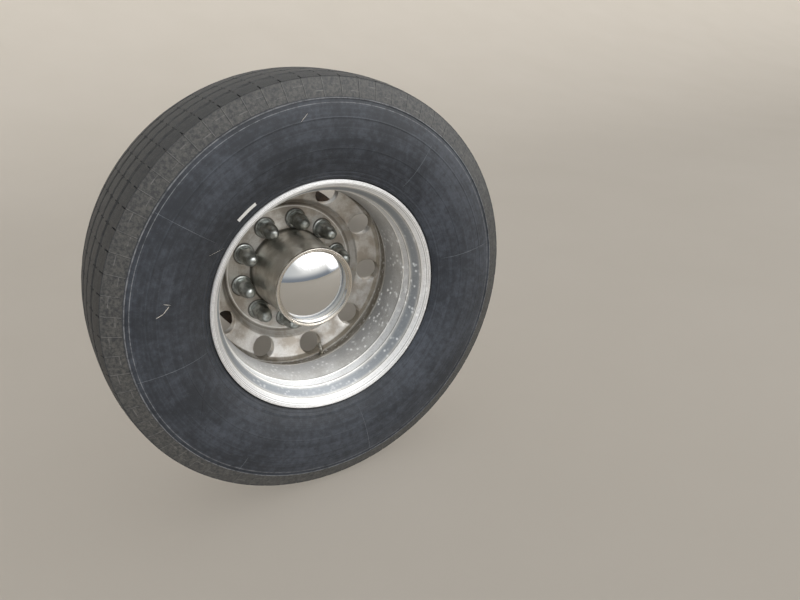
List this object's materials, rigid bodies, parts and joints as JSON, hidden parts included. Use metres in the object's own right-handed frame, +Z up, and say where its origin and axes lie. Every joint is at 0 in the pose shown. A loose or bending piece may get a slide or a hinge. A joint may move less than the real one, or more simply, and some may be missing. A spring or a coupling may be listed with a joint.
{
  "type": "motorhome wheel end",
  "caption": "Forged aluminium heavy-duty wheel with tyre, hub cover and nut covers, turning on its hub, brake drum and axle end.",
  "frame": {"origin": "on the wheel's axis, at the inboard end face of the axle tube, where the axle's seat or beam is joined", "axes": "+Z up, wheel axis along Y, outboard side of the wheel towards -Y"},
  "size_m": [1.0678, 0.7793, 1.068],
  "materials": {
    "tyre_rubber": "dusty moulded rubber",
    "forged_aluminium": "polished, with fine turning marks",
    "nickelled_brass": "nickel plated",
    "plated_steel": "dull zinc plating",
    "chromed_covers": "tarnished chrome plate",
    "stainless_cover": "pressed bright sheet, dulled",
    "chromed_dome": "mirror chrome plate",
    "cast_drum": "rusted as cast",
    "cast_hub": "painted as cast",
    "painted_axle": "satin black chassis paint",
    "painted_spider": "satin black chassis paint on rough casting",
    "painted_shields": "satin black paint on pressed sheet",
    "bare_steel": "bare steel with a brown film",
    "painted_chamber": "satin black paint on pressed steel"
  },
  "bodies": {
    "axle_end": {"axle_spindle": "painted_axle", "brake_spider": "painted_spider", "dust_shields": "painted_shields", "camshaft": "bare_steel", "chamber_bracket": "painted_spider", "slack_adjuster": "painted_spider", "push_rod": "plated_steel", "brake_chamber": "painted_chamber", "chamber_clamp": "plated_steel"},
    "wheel": {"tyre": "tyre_rubber", "forged_wheel": "forged_aluminium", "valve_stem": "nickelled_brass", "nut_covers": "chromed_covers", "hub_cover": "stainless_cover", "dome_cap": "chromed_dome", "brake_drum": "cast_drum", "hub": "cast_hub"}
  },
  "joints": [
    {"name": "wheel_spin", "type": "hinge", "parent": "axle_end", "child": "wheel", "pos_m": [0, 0, 0], "axis": [0, 1, 0], "continuous": true}
  ]
}
